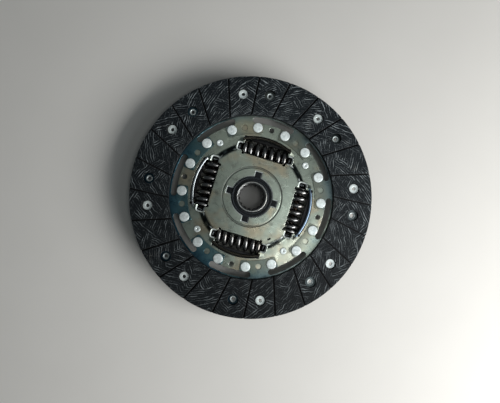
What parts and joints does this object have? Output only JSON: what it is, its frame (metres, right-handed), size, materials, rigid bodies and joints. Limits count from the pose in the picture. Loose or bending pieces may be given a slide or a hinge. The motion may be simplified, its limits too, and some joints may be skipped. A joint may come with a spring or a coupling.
{
  "type": "clutch disc",
  "caption": "Torsion-damped clutch driven plate: grooved friction rings on waved spring segments, drawn plates with sprung windows, splined hub.",
  "frame": {"origin": "on the disc's axis, level with the hub's rear end, on which the disc stands", "axes": "+Z along the disc's axis towards the bulged front side, +X through the middle of a spring window, +Y through the middle of the next one"},
  "size_m": [0.228, 0.228, 0.024],
  "materials": {
    "friction_lining": "matte moulded yarn friction material with pale yarn ends",
    "tempered_steel": "oil-wet blue tempered spring steel",
    "plate_steel": "satin olive-grey pressed steel",
    "zinc_steel": "bright zinc-plated",
    "black_spring_steel": "glossy black lacquer",
    "hub_steel": "machined forging, oiled",
    "black_plastic": "glass-filled black plastic"
  },
  "bodies": {
    "splined_hub": {"hub": "hub_steel"},
    "plate_assembly": {"front_facing": "friction_lining", "rear_facing": "friction_lining", "cushion_segment_1": "tempered_steel", "cushion_segment_2": "tempered_steel", "cushion_segment_3": "tempered_steel", "cushion_segment_4": "tempered_steel", "cushion_segment_5": "tempered_steel", "cushion_segment_6": "tempered_steel", "cushion_segment_7": "tempered_steel", "cushion_segment_8": "tempered_steel", "front_facing_rivets": "zinc_steel", "rear_facing_rivets": "zinc_steel", "segment_rivets": "zinc_steel", "stop_pins": "zinc_steel", "drive_plate": "plate_steel", "counter_plate": "plate_steel", "centring_ring": "black_plastic", "front_friction_washer": "black_plastic", "rear_friction_washer": "black_plastic", "support_washer": "plate_steel", "diaphragm_spring": "tempered_steel"},
    "spring_set": {"outer_spring_1": "black_spring_steel", "outer_spring_2": "black_spring_steel", "outer_spring_3": "black_spring_steel", "outer_spring_4": "black_spring_steel", "inner_spring_1": "black_spring_steel", "inner_spring_2": "black_spring_steel", "inner_spring_3": "black_spring_steel", "inner_spring_4": "black_spring_steel"}
  },
  "joints": [
    {"name": "damper_twist", "type": "hinge", "parent": "splined_hub", "child": "plate_assembly", "pos_m": [0, 0, 0.0125], "axis": [0, 0, 1], "range_deg": [-8, 8], "stiffness_Nm_per_rad": 1700},
    {"name": "spring_float", "type": "hinge", "parent": "splined_hub", "child": "spring_set", "pos_m": [0, 0, 0.0125], "axis": [0, 0, 1], "range_deg": [-4, 4], "deforming": ["outer_spring_1", "outer_spring_2", "outer_spring_3", "outer_spring_4", "inner_spring_1", "inner_spring_2", "inner_spring_3", "inner_spring_4"]}
  ],
  "couplings": [
    {"joint": "spring_float", "follows": "damper_twist", "ratio": 0.5}
  ]
}
